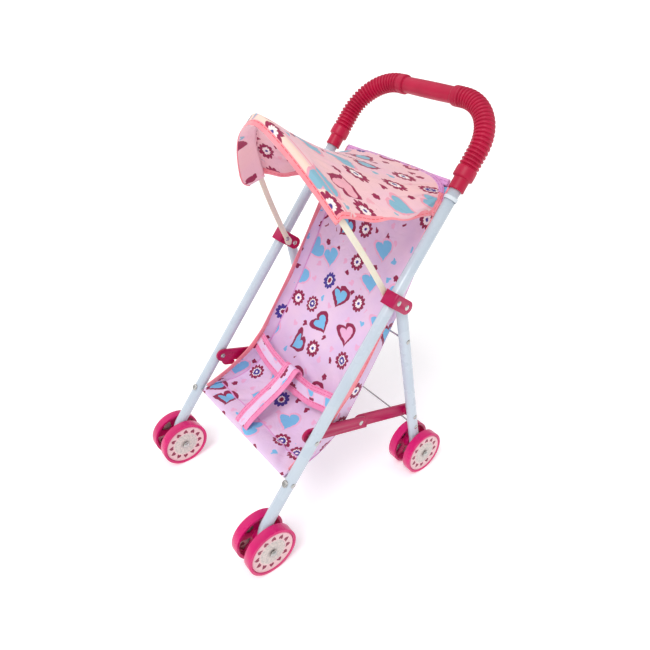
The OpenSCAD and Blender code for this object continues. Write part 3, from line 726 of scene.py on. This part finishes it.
# %% Cloth settling
def settled(obj, pins, grow, frames, reach_mm):
    """Runs the cloth solver with the pinned points held, and moves no point further than
    'reach_mm'. grow is how much larger the cloth is cut than its frame."""
    start = np.zeros(len(obj.data.vertices) * 3)
    obj.data.vertices.foreach_get("co", start)
    group = obj.vertex_groups.new(name="sewn")
    group.add(np.flatnonzero(pins.ravel()).tolist(), 1.0, "ADD")
    cloth = obj.modifiers.new("cloth", "CLOTH")
    cloth.settings.quality = 8
    cloth.settings.mass = 0.08
    cloth.settings.tension_stiffness = cloth.settings.compression_stiffness = 12
    cloth.settings.shear_stiffness = 4
    cloth.settings.bending_stiffness = 0.02
    cloth.settings.vertex_group_mass = "sewn"
    cloth.settings.shrink_min = -grow
    cloth.collision_settings.use_collision = False
    cloth.point_cache.frame_start, cloth.point_cache.frame_end = 1, frames
    for now in range(1, frames + 1):
        bpy.context.scene.frame_set(now)
    after = obj.evaluated_get(bpy.context.evaluated_depsgraph_get()).data
    end = np.zeros(len(start))
    after.vertices.foreach_get("co", end)
    move = (end - start).reshape(-1, 3)
    size = np.linalg.norm(move, axis=1, keepdims=True)
    move *= np.tanh(size / (reach_mm * MM)) * reach_mm * MM / np.maximum(size, 1e-9)
    obj.modifiers.remove(cloth)
    obj.vertex_groups.clear()
    obj.data.vertices.foreach_set("co", start + move.ravel())
    obj.data.update()
    bpy.context.scene.frame_set(1)
    print(obj.name, "settled by up to", round(float(size.max()) * 1000, 1), "mm")
    return obj


def sheet_size(points):
    """The flat size of a sheet given as a grid: its longest row and column, in metres."""
    wide = np.linalg.norm(np.diff(points, axis=1), axis=2).sum(1).max()
    tall = np.linalg.norm(np.diff(points, axis=0), axis=2).sum(0).max()
    return float(wide), float(tall)


def cloth_piece(name, points, uv, material, thick_mm=0.5):
    """A sheet from a grid of points, with its material. thick_mm is not used."""
    obj = place(name, points, quads(*points.shape[:2]), uv)
    obj.data.materials.append(material)
    return obj


def thicken(obj, thick_mm=0.6):
    """Gives a settled sheet its thickness, evenly on both sides."""
    wall = obj.modifiers.new("thickness", "SOLIDIFY")
    wall.thickness, wall.offset = thick_mm * MM, 0.0
    return obj


# %% [markdown]
# ## Seat
# The seat is one strip of cloth sewn between two side panels. It comes down from the hem between
# the handles, turns under the doll at a crease, and runs forward to a wire that it is folded
# round. Its side view is a curve; the sheet is that curve carried across the stroller. The side
# panels fill the gap between that curve and a second one, the bound front edge.

# %% Seat curves
t = np.linspace(0, 1, 80)
wire_at, crease = 71.5, 147.0
behind = 10 + 56 * (t + 0.2 * np.sin(np.pi * t))
back_curve = np.stack([behind, 504 + (crease - 504) * t], 1)
pan_top = np.array([-2.6, 73.7])
pan_curve = (back_curve[-1] + (pan_top - back_curve[-1]) * t[:, None]
             + 11 * (np.sin(np.pi * t) ** 1.0 * (1 - t ** 3))[:, None]
             * np.array([math.sin(LEAN), -math.cos(LEAN)]))
forward = unit(pan_top - back_curve[-1])
above = np.array([forward[1], -forward[0]])
roll = np.linspace(0, np.pi, 14)[1:, None]
casing = np.array([0, wire_at]) + 3.5 * (np.cos(roll) * above + np.sin(roll) * forward)
under = casing[-1] - forward * np.linspace(2, 20, 8)[:, None] - above * 1.0
seat_curve = spaced(np.concatenate([back_curve, pan_curve[1:], casing, under]), 190, 6)
edge_curve = spaced(np.array([(9, 504), (10, 480), (13, 417), (22, 359), (31, 290), (35, 230),
                              (37, 195), (32, 158), (20, 122), (8, 98), (-1, 79)]), 120, 5)

# %% Seat sheet
rows = len(seat_curve)
s = np.linspace(-1, 1, 72)[None, :]
v = np.linspace(0, 1, rows)[:, None]
at = lengths(seat_curve)
pan_share = np.clip((at / at[-1] - 0.68) / 0.2, 0, 1)[:, None]
half_wide = 102.5 + 9 * pan_share ** 2
x = half_wide * s
slope = unit(np.gradient(seat_curve, axis=0))
normal = np.stack([slope[:, 1], -slope[:, 0]], 1)
from_side, from_top = x, at[:, None]
billow = (3.5 * np.sin(np.pi * np.clip(v / 0.62, 0, 1)) ** 1.2 * (1 - s ** 2)
          + 1.6 * np.sin(7 * s + 9 * v) * np.sin(11 * v) * (1 - s ** 4)
          * np.clip(v * 8, 0, 1) * np.clip((0.86 - v) * 8, 0, 1))
# Pulled folds: each runs between two points (x, distance down the sheet) and is a soft ridge
for x0, d0, x1, d1, wide, high in (
        (-94, 462, -36, 402, 6, 4.0), (94, 462, 42, 396, 6, 4.5), (-16, 446, -62, 396, 5, -2.8),
        (22, 436, 80, 424, 5, 3.2), (88, 352, 24, 268, 8, 3.2), (-88, 348, -34, 236, 9, 3.4),
        (-44, 312, 36, 338, 7, -3.0), (92, 70, 34, 168, 8, 3.0), (-92, 120, -50, 200, 8, 2.6)):
    run = math.hypot(x1 - x0, d1 - d0)
    along = ((from_side - x0) * (x1 - x0) + (from_top - d0) * (d1 - d0)) / run ** 2
    off = ((from_side - x0) * (d1 - d0) - (from_top - d0) * (x1 - x0)) / run
    billow = billow + (high * np.exp(-(off / wide) ** 2)
                       * np.sin(np.pi * np.clip(along, 0, 1)) ** 0.7)
seat_points = on_leg(x, seat_curve[:, 1:] - billow * normal[:, 1:],
                     -(seat_curve[:, :1] - billow * normal[:, :1]))
seat_uv = np.stack(np.broadcast_arrays(x * MM, -at[:, None] * MM), -1)
seat = cloth_piece("seat_cloth_sheet", seat_points, seat_uv, seat_cloth)
pins = np.zeros(seat_points.shape[:2], bool)
pins[:, [0, -1]] = True
pins[:2], pins[int(rows * 0.86):] = True, True
settled(seat, pins, 0.015, 18, 2.5)
thicken(seat)
print("seat sheet", [round(v, 3) for v in sheet_size(seat_points)], "m")

# %% Side panels
rows = 120
panel_curve = spaced(seat_curve[:int(len(seat_curve) * 0.885)], rows)
side_sheets = []
r = np.linspace(0, 1, 18)[None, :]
v = np.linspace(0, 1, rows)[:, None]
for side, name in ((-1, "left"), (1, "right")):
    out_edge = 104 + 7 * np.clip((v - 0.72) / 0.28, 0, 1) ** 2
    out_panel = 102.5 + 9 * np.clip((v - 0.76) / 0.24, 0, 1) ** 2
    puff = 3.0 * np.sin(np.pi * r) * np.sin(np.pi * v) + 1.2 * np.sin(np.pi * r) * np.sin(23 * v)
    flat = edge_curve[:, None] * (1 - r[..., None]) + panel_curve[:, None] * r[..., None]
    points = on_leg(side * (out_edge * (1 - r) + out_panel * r + puff), flat[..., 1],
                    -flat[..., 0])
    if side > 0:
        points = points[:, ::-1]
    at = np.broadcast_to(lengths(panel_curve)[:, None], flat.shape[:2])
    wide = np.linalg.norm(flat - flat[:, :1], axis=2)
    uv = np.stack([wide * MM + 0.4, -at * MM + side * 0.3], -1)
    panel = cloth_piece("seat_side_" + name, points, uv[:, ::-1] if side > 0 else uv, seat_cloth)
    thicken(panel)
    side_sheets.append((panel, points))

# %% [markdown]
# ## Bindings
# A folded tape is an outline of a flat oval carried along the edge of the cloth. Its width lies in
# the sheet, so the outline's long axis points from the edge into the cloth.


# %% Bound edges
def binding(name, edge, inward, width_mm, material, thick_mm=1.5):
    """A folded tape along an edge: a flat oval half its width in from the edge."""
    inward = unit(np.asarray(inward))
    path = edge + inward * (width_mm / 2 - 0.6) * MM
    outline = superellipse(width_mm / 2 * MM, thick_mm / 2 * MM, 3.5, 16)
    obj = bar(name, path, outline, inward)
    obj.data.materials.append(material)
    return obj


seat_tapes = []
for (panel, points), name in zip(side_sheets, ("left", "right")):
    edge = points[:, 0] if name == "left" else points[:, -1]
    inner = points[:, 3] if name == "left" else points[:, -4]
    seat_tapes.append(binding("seat_edge_tape_" + name, edge, inner - edge, 9, salmon_tape))
row = int(np.searchsorted(lengths(seat_curve), lengths(seat_curve)[-1] - 58))
pan_seam = binding("seat_casing_seam", seat_points[row, 1:-1], seat_points[row + 1, 1:-1]
                   - seat_points[row, 1:-1], 2.2, lilac_tape)
top = on_leg(np.linspace(-101, 101, 60), 507, -9)
hem_tape = binding("back_hem_tape", top, -ALONG, 9, lilac_tape, thick_mm=4.4)
seam_tapes = []
for side, name in ((-1, "left"), (1, "right")):
    seam = on_leg(side * half_wide[:168:2, 0], seat_curve[:168:2, 1], -seat_curve[:168:2, 0])
    seam_tapes.append(binding("seat_seam_" + name, seam, -ACROSS * side, 2.2, lilac_tape))

# %% [markdown]
# ## Harness straps
# A waist strap joins the side panels, and a crotch strap comes up from the seat and loops round it.
# Each is printed cloth with a satin binding along both edges, so each is one flat bar of cloth and
# two narrow tapes.


# %% Straps
def strap(name, path, across, wide_mm, thick_mm=1.1):
    """A flat strap and its two bindings, all along one path."""
    path = np.asarray(path, float)
    forward = unit(np.gradient(path, axis=0))
    across = np.broadcast_to(np.asarray(across, float), path.shape)
    across = unit(across - forward * np.sum(across * forward, 1, keepdims=True))
    cols = np.linspace(-1, 1, 12)[None, :, None]
    points = path[:, None] + across[:, None] * cols * (wide_mm / 2 - 2) * MM
    at = lengths(path)[:, None] + 0.03
    uv = np.stack(np.broadcast_arrays(cols[..., 0] * (wide_mm / 2) * MM + 0.21, at), -1)
    band = cloth_piece(name, points, uv, strap_cloth)
    thicken(band, thick_mm)
    edges = []
    for side, word in ((-1, "_edge_a"), (1, "_edge_b")):
        edge = path + side * across * wide_mm / 2 * MM
        edges.append(binding(name + word, edge, -side * across, 9.5, pink_tape, thick_mm=2.0))
    return band, edges, points


def design(x, y, z):
    """Points given from the front axles' line on the floor, in mm."""
    return np.stack(np.broadcast_arrays(np.asarray(x, float), np.asarray(y, float),
                                        np.asarray(z, float)), -1) * MM + (0, AXLE_Y, 0)


STRAP_WIDE = 30
x = np.linspace(-102.5, 102.5, 70)
dip = 1 - (x / 102.5) ** 2
waist = design(x, 143 - 9 * dip, 170 - 14 * dip + 1.2 * np.sin(x / 9) * dip)
waist_band, waist_edges, waist_points = strap("waist_strap_cloth", waist, (0, 0.45, 0.9), STRAP_WIDE)
crotch_line = spaced(np.array([(58, 112), (48, 112), (47, 117), (60, 129), (83, 143), (106, 156),
                               (122, 168), (131, 179), (136, 183), (141, 179), (142, 168),
                               (139, 156), (134, 146), (127, 141)]), 70, 4)
crotch = design(np.linspace(-6, 2, 70), crotch_line[:, 0], crotch_line[:, 1])
crotch_band, crotch_edges, crotch_points = strap("crotch_strap_cloth", crotch, ACROSS, STRAP_WIDE)

# %% Seat pieces ride with the frame
soft_seat = ([seat, hem_tape, waist_band, crotch_band] + [p for p, _ in side_sheets] + seat_tapes
             + seam_tapes + [pan_seam] + waist_edges + crotch_edges)
for piece in soft_seat:
    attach(piece, "frame")
    if piece is not hem_tape:
        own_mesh(piece)
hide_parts("seat_sling")
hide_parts("waist_strap")
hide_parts("crotch_strap")

# %% [markdown]
# ## Canopy bow
# A flat plastic strip is bent to half an ellipse and riveted by its ends to the brackets. On a
# used toy the soft cloth pulls one arm further forward than the other, so the tilt changes from 24
# degrees at the left to 29 at the right, and the left shoulder of the arch sits 11 mm lower.

# %% Bow strip
BOW_Y, BOW_Z, BOW_HALF, BOW_RISE = 208.53, 323.9, 111.2, 238.5


def bow_point(angle, out=0.0, ahead=0.0):
    """A point on the bow: angle from upright, 'out' mm outside it and 'ahead' mm in front."""
    x = (BOW_HALF + out) * np.sin(angle)
    slack = 5.5 * (1 - np.tanh(np.degrees(angle + 0.05) / 12))
    rise = (BOW_RISE + out - slack) * np.cos(angle)
    tilt = np.radians(26.5 + 2.5 * x / BOW_HALF)
    return design(x, BOW_Y - rise * np.sin(tilt) - ahead * np.cos(tilt),
                  BOW_Z + rise * np.cos(tilt) - ahead * np.sin(tilt))


angle = np.radians(np.linspace(-93, 93, 150))
strip = bow_point(angle)
at = lengths(strip) * 1000
ends = np.minimum(at, at[-1] - at)
half = 4.25 + 1.9 * np.exp(-((ends - 6.5) / 5) ** 2) - 2.6 * np.exp(-(ends / 1.6) ** 2)
outline = superellipse(1, 1, 4, 20)[None] * np.stack([half, np.full(150, 0.9)], 1)[:, None] * MM
bow = bar("canopy_bow_strip", strip, outline, (0, math.cos(math.radians(26.5)),
                                               math.sin(math.radians(26.5))))
finish(bow, bow_plastic, "canopy_bow", "bow_plastic", "canopy_bow")

# %% [markdown]
# ## Canopy
# The canopy is one sheet from the hem between the handles to the bow, with its sides hanging. The
# hem is a squared oval, the front edge follows the bow, and the sheet runs straight between them
# with a little sag: point = hem x (1 - t) + front x t - sag.


# %% Canopy sheet
def canopy_front(s):
    """The canopy's front edge: 9 mm in front of the bow, and up to 30 mm at the left, where the
    loose cloth droops past it and its corner is rounded."""
    loose = 9 + 20 * np.clip(-s + 0.15, 0, 1) ** 1.3
    loose = loose - 9 * np.clip((-s - 0.9) / 0.1, 0, 1) ** 2
    return bow_point(np.radians(57.5) * s, 3.2 - 0.3 * (loose - 6), loose)


def canopy_hem(s):
    """The rear hem: x and height along the leg are powers of the sine and cosine of one angle."""
    a = np.pi / 2 * s
    return on_leg(105.5 * np.sign(s) * abs(np.sin(a)) ** 0.45,
                  458 + 50 * abs(np.cos(a)) ** 0.45, -7.4)


s = np.linspace(-1, 1, 110)
t = np.linspace(0, 1, 60)[:, None, None]
ridge, hem = bow_point(np.radians(57.5) * s, 4.4, -1.5), canopy_hem(s)
sag = 9 * np.sin(np.pi * t) ** 1.2 * np.cos(np.pi / 2 * s)[None, :, None] ** 0.8
lift = 2.6 * t ** 12
fold = (1.3 * np.sin(10 * s[None, :, None] + 3 * t) * np.sin(np.pi * t)
        + 1.8 * np.sin(16 * t) * np.sin(np.pi * t) * abs(s[None, :, None]) ** 6)
canopy_points = hem * (1 - t) + ridge * t + (lift - sag + fold) * MM * np.array([0, 0, 1.0])
w = np.linspace(0, 1, 9)[1:, None, None]
flap = canopy_points[-1] * (1 - w) + canopy_front(s) * w + 1.5 * MM * np.sin(np.pi * w) * ALONG
canopy_points = np.concatenate([canopy_points, flap])
t = np.linspace(0, 1, len(canopy_points))[:, None, None]
outward = np.clip(abs(s) - 0.55, 0, 1)[None, :, None] * np.sign(s)[None, :, None] * ACROSS
canopy_points = canopy_points + outward * np.sin(np.pi * t) * 9 * MM
wide = np.linalg.norm(np.diff(canopy_points, axis=1), axis=2).mean(0)
across_at = np.concatenate([[0], np.cumsum(wide)])
down = np.linalg.norm(np.diff(canopy_points, axis=0), axis=2)
from_front = np.concatenate([np.cumsum(down[::-1], 0)[::-1], np.zeros((1, len(s)))])
canopy_uv = np.stack(np.broadcast_arrays(across_at[None], -from_front), -1)
canopy = cloth_piece("canopy_sheet", canopy_points, canopy_uv, canopy_cloth)
pins = np.zeros(canopy_points.shape[:2], bool)
pins[:2], pins[-13:] = True, True
settled(canopy, pins, 0.012, 18, 8)
thicken(canopy)
after = np.zeros(len(canopy.data.vertices) * 3)
canopy.data.vertices.foreach_get("co", after)
hung = after.reshape(canopy_points.shape)
print("canopy sheet", [round(v, 3) for v in sheet_size(canopy_points)], "m")

# %% [markdown]
# The bow runs in a casing: the front of the sheet is folded back under it and sewn down behind.
# The under layer leaves the front edge, passes below the strip and meets the sheet behind it.

# %% Casing under the bow
below = bow_point(np.radians(57.5) * s, -3.4, 6.0), bow_point(np.radians(57.5) * s, -4.6, -4.5)
layers = np.stack([hung[-1] - 0.6 * MM * ALONG, below[0], below[1], hung[-13]])
knots = np.linspace(0, 3, 13)
low = np.clip(knots.astype(int), 0, 2)
share = (knots - low)[:, None, None]
share = share * share * (3 - 2 * share)
under_points = layers[low] * (1 - share) + layers[low + 1] * share
under_uv = np.stack(np.broadcast_arrays(across_at[None] + 0.02,
                                        np.linspace(0, 0.03, 13)[:, None]), -1)
casing_under = cloth_piece("canopy_casing", under_points[:, ::-1], under_uv[:, ::-1],
                           canopy_cloth)
thicken(casing_under, 0.5)
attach(casing_under, "canopy_bow")

# %% Canopy bindings and casing
lower_tapes = [binding("canopy_edge_tape_left", hung[:, 0], hung[:, 3] - hung[:, 0], 8, salmon_tape),
               binding("canopy_edge_tape_right", hung[:, -1], hung[:, -4] - hung[:, -1], 8,
                       salmon_tape)]
front_tape = binding("canopy_front_tape", hung[-1], hung[-4] - hung[-1], 7, salmon_tape)
rear_tape = binding("canopy_hem_tape", hung[0, 12:-12], hung[3, 12:-12] - hung[0, 12:-12], 9,
                    lilac_tape, thick_mm=2.0)
for ends, name in ((slice(None, 14), "left"), (slice(-14, None), "right")):
    corner = binding("canopy_hem_corner_" + name, hung[0, ends], hung[3, ends] - hung[0, ends], 8,
                     salmon_tape, thick_mm=1.8)
    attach(corner, "frame")
tuple(Vector(bow_point(np.radians(np.array([50.0])))[0]) * Vector((0, 1, 1)))
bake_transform(canopy)
for piece in lower_tapes:
    tuple(Vector(bow_point(np.radians(np.array([50.0])))[0]) * Vector((0, 1, 1)))
    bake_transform(piece)
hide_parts("canopy")
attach(front_tape, "canopy_bow")
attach(rear_tape, "frame")

# %% [markdown]
# ## Hem loops
# The hem hangs from the legs by two short loops of tape just under the grips.

# %% Loops
loop_pieces = []
for side, name in ((-1, "left"), (1, "right")):
    a = np.linspace(0, 2 * np.pi, 49)[:-1]
    r = 8.6
    ring = on_leg(side * (LEG_X / MM + r * np.cos(a)), 483, r * np.sin(a))
    loop = bar("hem_loop_" + name, ring, superellipse(2.6 * MM, 0.5 * MM, 3.5, 12), ALONG, loop=True)
    tidy(loop)
    a = np.linspace(0, 1, 14)
    tab = bar("hem_tab_" + name, on_leg(side * (LEG_X / MM - 6.5 - 13 * a), 483, -5.6 - 4 * a),
              superellipse(4.5 * MM, 0.7 * MM, 3.5, 12), ALONG)
    loop_pieces += [loop, tab]
    finish(loop, white_tape, "frame", "binding_tape")
    finish(tab, lilac_tape, "frame", "binding_tape")
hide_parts("hem_loops")

# %% [markdown]
# ## Wire eyelets
# The front wire passes through each leg and is closed in front by a small steel eyelet.

# %% Eyelets
for side, name in ((-1, "left"), (1, "right")):
    profile = np.array([(0, 1.2), (0, 4.6), (0.5, 5.0), (1.1, 4.8), (1.3, 4.0), (1.0, 3.0),
                        (0.6, 2.0), (0.6, 0.4)]) * MM
    centre = on_leg(side * LEG_X / MM, 69, 7.3)
    eyelet = lathe("wire_eyelet_" + name, profile, centre, IN_FRONT, 32)
    finish(eyelet, nickel_plate, "frame", "bright_steel")

# %% [markdown]
# ## Floor and light
# A pale floor and a bright, even room keep the colours true. One broad soft light from above and
# in front shapes the tubes, and a weaker one fills the other side. Both come from far away, so
# the floor is lit evenly to its edges.

# %% Studio
floor_points = np.array([[(-1, -1, 0), (1, -1, 0)], [(-1, 1, 0), (1, 1, 0)]], float) * 60
floor = place("floor", floor_points, quads(2, 2))
floor_paint, tree, shader = new_material("matt_white_floor", Roughness=0.9)
shader.inputs["Base Color"].default_value = linear("#FFFFFF")
shader.inputs["Emission Color"].default_value = linear("#FFFFFF")
shader.inputs["Emission Strength"].default_value = 0.22
floor.data.materials.append(floor_paint)
world = bpy.data.worlds.new("studio")
bpy.context.scene.world = world
world.use_nodes = True
world.node_tree.nodes["Background"].inputs[0].default_value = linear("#FFFFFF")
seen = add(world.node_tree, "ShaderNodeLightPath")
strength = add(world.node_tree, "ShaderNodeMath", {0: seen.outputs["Is Camera Ray"], 1: 0.34,
                                                   2: 0.64}, operation="MULTIPLY_ADD")
world.node_tree.links.new(strength.outputs[0],
                          world.node_tree.nodes["Background"].inputs["Strength"])
for name, place_at, strength, spread in (("key", (0.7, -1.5, 2.6), 1.35, 28),
                                         ("fill", (-1.8, -0.4, 1.2), 0.35, 60)):
    lamp = bpy.data.objects.new(name, bpy.data.lights.new(name, "SUN"))
    lamp.data.energy, lamp.data.angle = strength, math.radians(spread)
    lamp.location = place_at
    lamp.rotation_mode = "QUATERNION"
    lamp.rotation_quaternion = (Vector((0, 0, 0.25)) - Vector(place_at)).to_track_quat("-Z", "Y")
    bpy.context.scene.collection.objects.link(lamp)
bpy.context.scene.view_settings.view_transform = "Standard"
